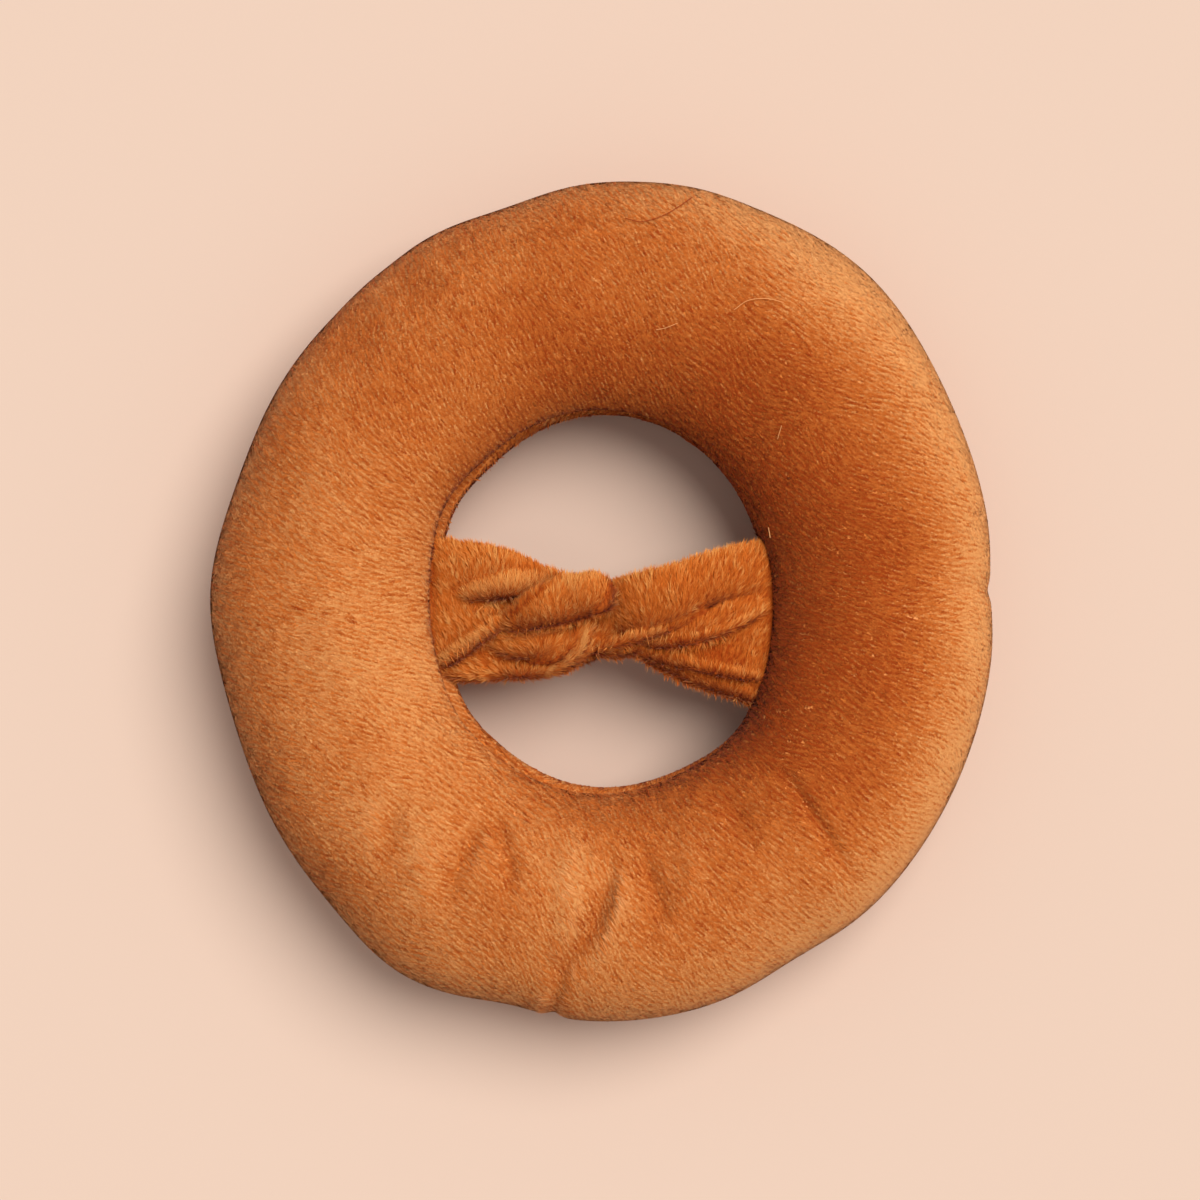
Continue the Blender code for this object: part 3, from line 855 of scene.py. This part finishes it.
def linked(tree, kind, **values):
    """A new node of this kind, with these settings."""
    node = tree.nodes.new(kind)
    for key, value in values.items():
        setattr(node, key, value)
    return node


def mixed(tree, factor, first, second):
    """A mix of two colour sockets. Sockets 6, 7 and 2 are the node's colour ones."""
    mix = linked(tree, "ShaderNodeMix", data_type="RGBA")
    tree.links.new(factor, mix.inputs["Factor"])
    tree.links.new(first, mix.inputs[6])
    tree.links.new(second, mix.inputs[7])
    return mix.outputs[2]


def toned(tree, tone, colours):
    """Colours for tones 0, a half and 1, on a ramp."""
    ramp_node = linked(tree, "ShaderNodeValToRGB")
    stops = ramp_node.color_ramp.elements
    stops.new(0.5)
    for stop, place, colour in zip(stops, (0.0, 0.5, 1.0), colours):
        stop.position = place
        stop.color = (*colour, 1)
    tree.links.new(tone, ramp_node.inputs["Fac"])
    return ramp_node.outputs["Color"]


def new_material(name, roughness, sheen=0.0):
    made = bpy.data.materials.new(name)
    made.use_nodes = True
    shader = made.node_tree.nodes["Principled BSDF"]
    shader.inputs["Roughness"].default_value = roughness
    shader.inputs["Specular IOR Level"].default_value = 0.12
    shader.inputs["Sheen Weight"].default_value = sheen
    shader.inputs["Sheen Roughness"].default_value = 0.5
    return made, made.node_tree, shader


def pile_material(name, tips, roots):
    made, tree, shader = new_material(name, 0.9, 0.04)
    tone = linked(tree, "ShaderNodeAttribute", attribute_name="tone").outputs["Fac"]
    along = linked(tree, "ShaderNodeAttribute", attribute_name="along").outputs["Fac"]
    mix = mixed(tree, along, toned(tree, tone, roots), toned(tree, tone, tips))
    tree.links.new(mix, shader.inputs["Base Color"])
    return made


def knit_material(name, colours):
    """The knit under the pile, unevenly toned."""
    made, tree, shader = new_material(name, 0.95)
    place = linked(tree, "ShaderNodeTexCoord").outputs["Object"]
    noise = linked(tree, "ShaderNodeTexNoise")
    noise.inputs["Scale"].default_value = KNIT_NOISE_SCALE
    tree.links.new(place, noise.inputs["Vector"])
    tree.links.new(toned(tree, noise.outputs["Fac"], colours), shader.inputs["Base Color"])
    return made


ring_plush = pile_material("plush_ring", RING_TIPS, RING_ROOTS)
strap_plush = pile_material("plush_strap", STRAP_TIPS, STRAP_ROOTS)
for piece in (*pile_pieces[:-1], loose_fibres):
    piece.data.materials.append(ring_plush)
for piece in (pile_pieces[-1], stitches):
    piece.data.materials.append(strap_plush)
ring_skin.data.materials.append(knit_material("knit_ring", RING_TIPS))
strap_skin.data.materials.append(knit_material("knit_strap", STRAP_ROOTS))

# %% [markdown]
# ## Table, light and camera
#
# The table is a plain pale peach sheet. One large soft lamp stands to the upper right, so
# shadows fall softly to the left and lower left, and a dim white world fills them. The camera
# looks straight down from above the hole.

# %% Table
bpy.ops.mesh.primitive_plane_add(size=4.0, location=(0, 0, -0.0002))
table = bpy.context.object
table.name = "table"
table_paint, _, table_shader = new_material("table_paint", 0.9)
table_shader.inputs["Base Color"].default_value = (0.650, 0.477, 0.375, 1)
table.data.materials.append(table_paint)

# %% Lamp, world and camera
LAMP_AZIMUTH, LAMP_ELEVATION = math.radians(44), math.radians(61)
key = bpy.data.lights.new("soft_lamp", "SUN")
key.angle, key.energy = math.radians(40), 3.14
lamp = bpy.data.objects.new("soft_lamp", key)
bpy.context.scene.collection.objects.link(lamp)
lamp.location = Vector((
    math.cos(LAMP_AZIMUTH) * math.cos(LAMP_ELEVATION),
    math.sin(LAMP_AZIMUTH) * math.cos(LAMP_ELEVATION),
    math.sin(LAMP_ELEVATION),
))
lamp.rotation_euler = lamp.location.to_track_quat("Z", "Y").to_euler()

world = bpy.data.worlds.new("room")
bpy.context.scene.world = world
world.use_nodes = True
world.node_tree.nodes["Background"].inputs["Color"].default_value = (1, 1, 1, 1)
world.node_tree.nodes["Background"].inputs["Strength"].default_value = 0.50

CAMERA_HEIGHT = 0.88
VIEW_WIDTH = 0.2597  # how much the view spans at half the ring's height
SENSOR_WIDTH = 36.0
camera_data = bpy.data.cameras.new("camera")
camera = bpy.data.objects.new("camera", camera_data)
bpy.context.scene.collection.objects.link(camera)
camera.location = (-0.0003, 0.0003, CAMERA_HEIGHT)
camera_data.sensor_width = SENSOR_WIDTH
camera_data.lens = SENSOR_WIDTH * (CAMERA_HEIGHT - RING_HEIGHT / 2) / VIEW_WIDTH
bpy.context.scene.camera = camera
bpy.context.scene.view_settings.view_transform = "Standard"

# %% What rides on what
for piece in (ring_skin, strap_skin, *pile_pieces, loose_fibres, stitches):
    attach(piece, "root")
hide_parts("ring")
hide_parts("twisted_strap")
